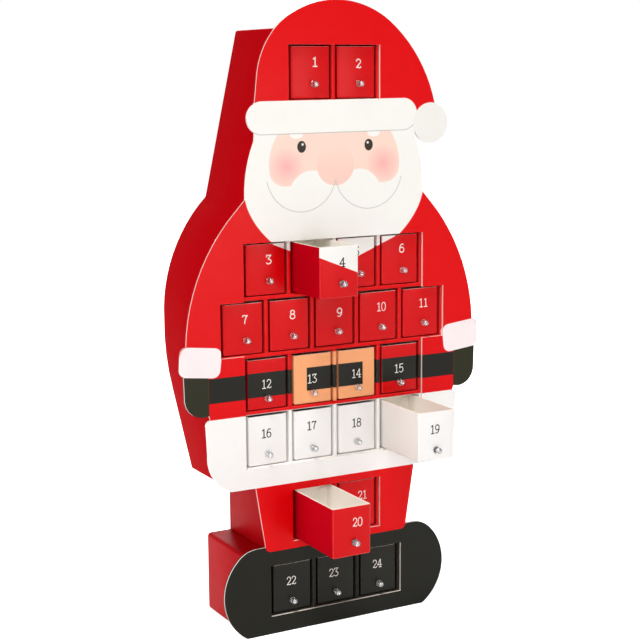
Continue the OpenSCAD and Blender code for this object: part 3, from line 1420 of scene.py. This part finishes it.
@dataclass
class BeadKnob:
    """A clear bead on a round foot, riveted through the drawer's front."""

    finishes: Finishes
    foot_r: float = 3.1 * MM
    foot_t: float = 0.9 * MM
    foot_round: float = 0.22 * MM
    neck_r: float = 1.1 * MM
    neck_len: float = 1.2 * MM
    bead_r: float = 2.7 * MM
    sink: float = 0.4 * MM
    stem_r: float = 0.9 * MM
    rivet_r: float = 1.8 * MM
    rivet_t: float = 0.5 * MM
    card: float = 1.2 * MM
    bead_steps: int = 14
    turns: int = 32
    smooth_angle: float = 40.0

    @property
    def reach(self) -> float:
        """How far the bead's tip stands out from the drawer's front."""
        return self.foot_t + self.neck_len + 2 * self.bead_r - self.sink

    def profile(self) -> list[tuple[float, float]]:
        """Radius and Y of the knob's outline, from the rivet to the bead's tip.

        Returns:
            The points.
        """
        back = self.card + self.rivet_t
        edge = self.foot_round
        heart = self.reach - self.bead_r
        base = math.asin(self.neck_r / self.bead_r)
        points = [
            (0.0, back),
            (self.rivet_r - edge, back),
            (self.rivet_r, back - edge),
            (self.rivet_r, self.card),
            (self.stem_r, self.card),
            (self.stem_r, 0.0),
            (self.foot_r - edge, 0.0),
            (self.foot_r, -edge),
            (self.foot_r, edge - self.foot_t),
            (self.foot_r - edge, -self.foot_t),
            (self.neck_r + edge, -self.foot_t),
            (self.neck_r, -self.foot_t - edge),
        ]
        for step in range(self.bead_steps + 1):
            angle = base + (math.pi - base) * step / self.bead_steps
            radius = max(0.0, self.bead_r * math.sin(angle))
            points.append((radius, -heart + self.bead_r * math.cos(angle)))
        return points

    def turned(self) -> Bench:
        """Spins the outline round the knob's axis.

        Returns:
            The pattern piece.
        """
        Bench.clear()
        points = [Vector((radius, y, 0)) for radius, y in self.profile()]
        bpy.ops.mesh.primitive_plane_add(size=self.foot_r)
        knob = Bench(bpy.context.object)
        knob.edit(Bench.BY_VERTEX)
        bpy.ops.mesh.merge(type="CENTER")
        bpy.ops.transform.translate(value=points[0])
        for start, end in zip(points, points[1:]):
            bpy.ops.mesh.extrude_region_move(TRANSFORM_OT_translate={"value": end - start})
        bpy.ops.mesh.select_all(action="SELECT")
        bpy.ops.mesh.spin(steps=self.turns, angle=2 * math.pi, center=(0, 0, 0), axis=(0, 1, 0))
        bpy.ops.mesh.select_all(action="SELECT")
        bpy.ops.mesh.remove_doubles(threshold=MERGE)
        bpy.ops.mesh.normals_make_consistent(inside=False)
        bpy.ops.object.mode_set(mode="OBJECT")
        knob.smooth(self.smooth_angle)
        knob.paint(self.finishes.bead)
        return knob

    def build(self) -> None:
        """Turns one knob and copies it onto every drawer."""
        pattern = self.turned()
        for number in DRAWERS:
            node = f"knob_{number:02d}"
            low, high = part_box(node)
            place = Vector(((low.x + high.x) / 2, low.y + self.reach, (low.z + high.z) / 2))
            bead = pattern.placed_copy(f"bead_{number:02d}", place)
            bead.stand_for(f"drawer_{number:02d}", node, "clear_bead")
        pattern.discard()


@dataclass(frozen=True)
class Stroke:
    """One pen stroke of a numeral, on a cell 1 wide and 1.5 tall."""

    points: tuple[tuple[float, float], ...]
    curved: bool = False
    closed: bool = False


CELL_TALL = 1.5
SERIF_FOOT = Stroke(((0.16, 0.0), (0.88, 0.0)))
NUMERAL_STROKES: Mapping[str, tuple[Stroke, ...]] = {
    "0": (Stroke(((0.5, 0.0), (0.94, 0.75), (0.5, 1.5), (0.06, 0.75)), True, True),),
    "1": (Stroke(((0.2, 1.27), (0.53, 1.5), (0.53, 0.0))), SERIF_FOOT),
    "2": (
        Stroke(((0.08, 1.1), (0.2, 1.4), (0.5, 1.5), (0.88, 1.12), (0.55, 0.6), (0.06, 0.04)), True),
        Stroke(((0.06, 0.04), (0.34, 0.14), (0.68, 0.0), (0.98, 0.24)), True),
    ),
    "3": (
        Stroke(((0.1, 1.24), (0.12, 1.5), (0.88, 1.5), (0.42, 0.9))),
        Stroke(((0.42, 0.9), (0.94, 0.45), (0.46, 0.0), (0.04, 0.22)), True),
    ),
    "4": (
        Stroke(((0.7, 0.0), (0.7, 1.5), (0.02, 0.46), (1.0, 0.46))),
        Stroke(((0.44, 0.0), (0.95, 0.0))),
    ),
    "5": (
        Stroke(((0.88, 1.5), (0.2, 1.5), (0.13, 0.8))),
        Stroke(((0.13, 0.8), (0.5, 0.97), (0.94, 0.5), (0.48, 0.0), (0.04, 0.24)), True),
    ),
    "6": (
        Stroke(((0.9, 1.34), (0.58, 1.5), (0.2, 1.14), (0.07, 0.55)), True),
        Stroke(((0.5, 0.0), (0.93, 0.46), (0.5, 0.92), (0.07, 0.46)), True, True),
    ),
    "7": (
        Stroke(((0.05, 1.2), (0.16, 1.46), (0.5, 1.42), (0.76, 1.38), (0.95, 1.5)), True),
        Stroke(((0.95, 1.5), (0.6, 0.86), (0.42, 0.0)), True),
    ),
    "8": (
        Stroke(((0.5, 0.82), (0.86, 1.16), (0.5, 1.5), (0.14, 1.16)), True, True),
        Stroke(((0.5, 0.0), (0.94, 0.41), (0.5, 0.82), (0.06, 0.41)), True, True),
    ),
    "9": (
        Stroke(((0.1, 0.16), (0.42, 0.0), (0.8, 0.36), (0.93, 0.95)), True),
        Stroke(((0.5, 1.5), (0.93, 1.04), (0.5, 0.58), (0.07, 1.04)), True, True),
    ),
}


@dataclass(frozen=True)
class NumeralRow:
    """Where a row's numbers stand: which drawers, how far right of the middle and how high."""

    drawers: range
    aside: float
    rise: float


@dataclass(frozen=True)
class Pen:
    """How digits are drawn: the width of the stroke, and the digit's breadth for its height."""

    stroke: float
    breadth: float


@dataclass
class Numerals:
    """Numbers printed on the drawer fronts, as flat strokes of ink."""

    finishes: Finishes
    height: float = 7.6 * MM
    film: float = 0.12 * MM
    advance: float = 5.0 * MM
    overrun: float = 1 / 3
    curve_steps: int = 7
    lone: Pen = Pen(1.1 * MM, 1.04)
    dark_pair: Pen = Pen(1.1 * MM, 0.9)
    pale_pair: Pen = Pen(0.8 * MM, 0.9)
    rows: tuple[NumeralRow, ...] = (
        NumeralRow(range(1, 12), 3.0 * MM, 31.0 * MM),
        NumeralRow(range(12, 16), -0.7 * MM, 22.5 * MM),
        NumeralRow(range(16, 20), -1.5 * MM, 28.8 * MM),
        NumeralRow(range(20, 22), 5.7 * MM, 30.5 * MM),
        NumeralRow(range(22, 25), -1.3 * MM, 28.8 * MM),
    )
    on_white: tuple[int, ...] = (4, 5, 16, 17, 18, 19)
    drift: Mapping[int, tuple[float, float]] = field(
        default_factory=lambda: {
            1: (1.5, 0.5),
            2: (-0.5, -1.0),
            5: (-3.0, 1.5),
            6: (-1.0, 1.5),
            7: (-1.0, 0.0),
            8: (0.0, 0.5),
            9: (2.0, -1.5),
            17: (0.0, 1.5),
            18: (1.0, -1.5),
            22: (0.5, -0.5),
            23: (-1.0, -0.5),
        }
    )

    def digit(self, mark: str, pen: Pen) -> Bench:
        """Draws one digit, its foot on z = 0 and centred on x = 0.

        Args:
            mark: the digit.
            pen: how it is drawn.

        Returns:
            The pattern piece.
        """
        unit = self.height / CELL_TALL
        curve = bpy.data.curves.new(f"digit_{mark}", "CURVE")
        curve.dimensions = "3D"
        curve.bevel_depth = pen.stroke / 2
        curve.bevel_resolution = 1
        curve.resolution_u = self.curve_steps
        curve.use_fill_caps = True
        for stroke in NUMERAL_STROKES[mark]:
            points = [Vector(((x - 0.5) * unit * pen.breadth, 0, z * unit)) for x, z in stroke.points]
            if stroke.curved:
                self.draw(curve, points, stroke.closed)
            else:
                for start, end in zip(points, points[1:]):
                    past = (end - start).normalized() * pen.stroke * self.overrun
                    self.draw(curve, [start - past, end + past], False)
        bench = Bench(bpy.data.objects.new(f"digit_{mark}", curve))
        bpy.context.scene.collection.objects.link(bench.obj)
        bench.activate()
        bpy.ops.object.convert(target="MESH")
        bench = Bench(bpy.context.object)
        bpy.ops.transform.resize(value=(1, self.film / pen.stroke, 1))
        bench.settle()
        return bench

    @staticmethod
    def draw(curve: bpy.types.Curve, points: Sequence[Vector], closed: bool) -> None:
        """Draws one smooth line.

        Args:
            curve: the curve that the line goes into.
            points: where the line passes.
            closed: whether it ends where it starts.
        """
        spline = curve.splines.new("BEZIER")
        spline.bezier_points.add(len(points) - 1)
        spline.use_cyclic_u = closed
        for knot, point in zip(spline.bezier_points, points):
            knot.co = point
            knot.handle_left_type = "AUTO"
            knot.handle_right_type = "AUTO"

    def build(self) -> None:
        """Prints the number on every drawer."""
        pens = (self.lone, self.dark_pair, self.pale_pair)
        digits = {(mark, pen): self.digit(mark, pen) for mark in NUMERAL_STROKES for pen in pens}
        for number in DRAWERS:
            self.number(digits, number)
        for bench in digits.values():
            bench.discard()

    def pen(self, number: int) -> Pen:
        """The pen that draws a drawer's number."""
        pair = self.dark_pair if number in self.on_white else self.pale_pair
        return self.lone if number < 10 else pair

    def number(self, digits: Mapping[tuple[str, Pen], Bench], number: int) -> None:
        """Prints one drawer's number, not always quite in its row's place.

        Args:
            digits: the digits as each pen draws them.
            number: the drawer's number.
        """
        body = f"drawer_{number:02d}"
        low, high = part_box(body)
        marks = str(number)
        pen = self.pen(number)
        row = next(row for row in self.rows if number in row.drawers)
        aside, rise = (value * MM for value in self.drift.get(number, (0.0, 0.0)))
        first = (low.x + high.x) / 2 + row.aside + aside - self.advance * (len(marks) - 1) / 2
        foot = low.z + row.rise + rise - self.height / 2
        whole, *others = (
            digits[mark, pen].placed_copy(
                f"numeral_{number:02d}_{i}", Vector((first + i * self.advance, low.y, foot))
            )
            for i, mark in enumerate(marks)
        )
        whole.join(others)
        whole.obj.name = f"numeral_{number:02d}"
        dark = number in self.on_white
        whole.paint(self.finishes.numeral_dark if dark else self.finishes.numeral_pale)
        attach(whole.obj, body)
        Stock.of_drawer(number).slot
        LOG.info("%s printed", whole.obj.name)


@dataclass(frozen=True)
class AreaLamp:
    """A soft box: where it hangs, how large and how bright it is."""

    name: str
    place: tuple[float, float, float]
    size: float
    watts: float


@dataclass
class Studio:
    """Camera, soft light, pale floor and white surroundings."""

    camera_place: tuple[float, float, float] = (-0.6371, -1.1773, 0.5044)
    yaw: float = 28.692
    pitch: float = 9.59
    roll: float = -0.381
    lens: float = 82.2
    sensor: float = 36.0
    target: tuple[float, float, float] = (0.0, 0.0, 0.28)
    ambient: float = 0.2
    floor_size: float = 30.0
    floor_lift: float = 0.82
    paper_size: float = 300.0
    paper_shade: float = 0.02
    lamps: tuple[AreaLamp, ...] = (
        AreaLamp("key_lamp", (-2.3, -3.3, 2.3), 3.6, 43.0),
        AreaLamp("side_lamp", (-1.3, -0.75, 1.5), 1.4, 5.0),
        AreaLamp("low_lamp", (-0.5, 0.15, 0.06), 0.3, 1.0),
        AreaLamp("fill_lamp", (0.62, -1.8, 0.3), 0.4, 4.5),
        AreaLamp("spark_lamp", (-0.7, -1.9, 1.5), 0.22, 1.6),
        AreaLamp("top_lamp", (-0.9, -0.8, 4.0), 1.2, 104.0),
        AreaLamp("back_lamp", (1.6, 2.6, 1.8), 2.0, 70.0),
    )

    def build(self) -> None:
        """Sets the camera, the lamps, the world and the floor."""
        self.set_camera()
        for lamp in self.lamps:
            self.hang(lamp)
        self.surround()
        self.lay_floor()
        bpy.context.scene.view_settings.view_transform = "Standard"

    def set_camera(self) -> None:
        """Puts the camera where the picture was taken from."""
        data = bpy.data.cameras.new("camera")
        data.lens = self.lens
        data.sensor_width = self.sensor
        camera = bpy.data.objects.new("camera", data)
        aim = Euler((math.radians(90 - self.pitch), 0, math.radians(-self.yaw))).to_matrix()
        turned = aim @ Matrix.Rotation(math.radians(self.roll), 3, "Z")
        camera.matrix_world = Matrix.Translation(self.camera_place) @ turned.to_4x4()
        bpy.context.scene.collection.objects.link(camera)
        bpy.context.scene.camera = camera

    def hang(self, lamp: AreaLamp) -> None:
        """Hangs one soft box that faces the calendar.

        Args:
            lamp: the soft box.
        """
        data = bpy.data.lights.new(lamp.name, "AREA")
        data.shape = "DISK"
        data.size = lamp.size
        data.energy = lamp.watts
        obj = bpy.data.objects.new(lamp.name, data)
        obj.location = lamp.place
        obj.visible_camera = False
        aim = Vector(self.target) - Vector(lamp.place)
        obj.rotation_euler = aim.to_track_quat("-Z", "Y").to_euler()
        bpy.context.scene.collection.objects.link(obj)

    def surround(self) -> None:
        """White surroundings to the eye and in reflections, a lower even light elsewhere."""
        desk = Desk(bpy.data.worlds.new("studio"))
        strength = desk.background_ray() * (1.0 - self.ambient) + self.ambient
        back = desk.node("ShaderNodeBackground", {}, {"Color": WHITE_LIGHT, "Strength": strength})
        desk.node("ShaderNodeOutputWorld", {}, {"Surface": back.outputs[0]})
        bpy.context.scene.world = desk.owner

    def lay_floor(self) -> None:
        """Lays a pale floor that keeps the calendar's shadow."""
        Bench.clear()
        bpy.ops.mesh.primitive_plane_add(size=self.floor_size, location=(0, 0, 0))
        floor = bpy.context.object
        floor.name = "studio_floor"
        desk = Desk.material("studio_paper")
        tint = desk.shaded(Ink.STUDIO, desk.noise(self.paper_size), self.paper_shade)
        paper = desk.node("ShaderNodeBsdfDiffuse", {}, {"Color": tint})
        strength = desk.background_ray() * self.floor_lift
        lift = desk.node("ShaderNodeEmission", {}, {"Color": WHITE_LIGHT, "Strength": strength})
        both = desk.node("ShaderNodeAddShader", {}, {0: paper.outputs[0], 1: lift.outputs[0]})
        desk.node("ShaderNodeOutputMaterial", {}, {"Surface": both.outputs[0]})
        floor.data.materials.append(desk.owner)


def main() -> None:
    """Dresses the calendar piece by piece and sets the studio."""
    logging.basicConfig(level=logging.INFO, format="%(name)s: %(message)s")
    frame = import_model()
    Bench.clear()
    face_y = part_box("front_panel")[0].y / MM
    cell_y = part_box("coat_dividers")[0].y / MM
    finishes = FinishMaker(face_y, cell_y).make()
    CardBox(finishes, frame["nodes"]).build()
    CardTray(finishes).build()
    BeadKnob(finishes).build()
    Numerals(finishes).build()
    Studio().build()


if __name__ == "__main__":
    main()
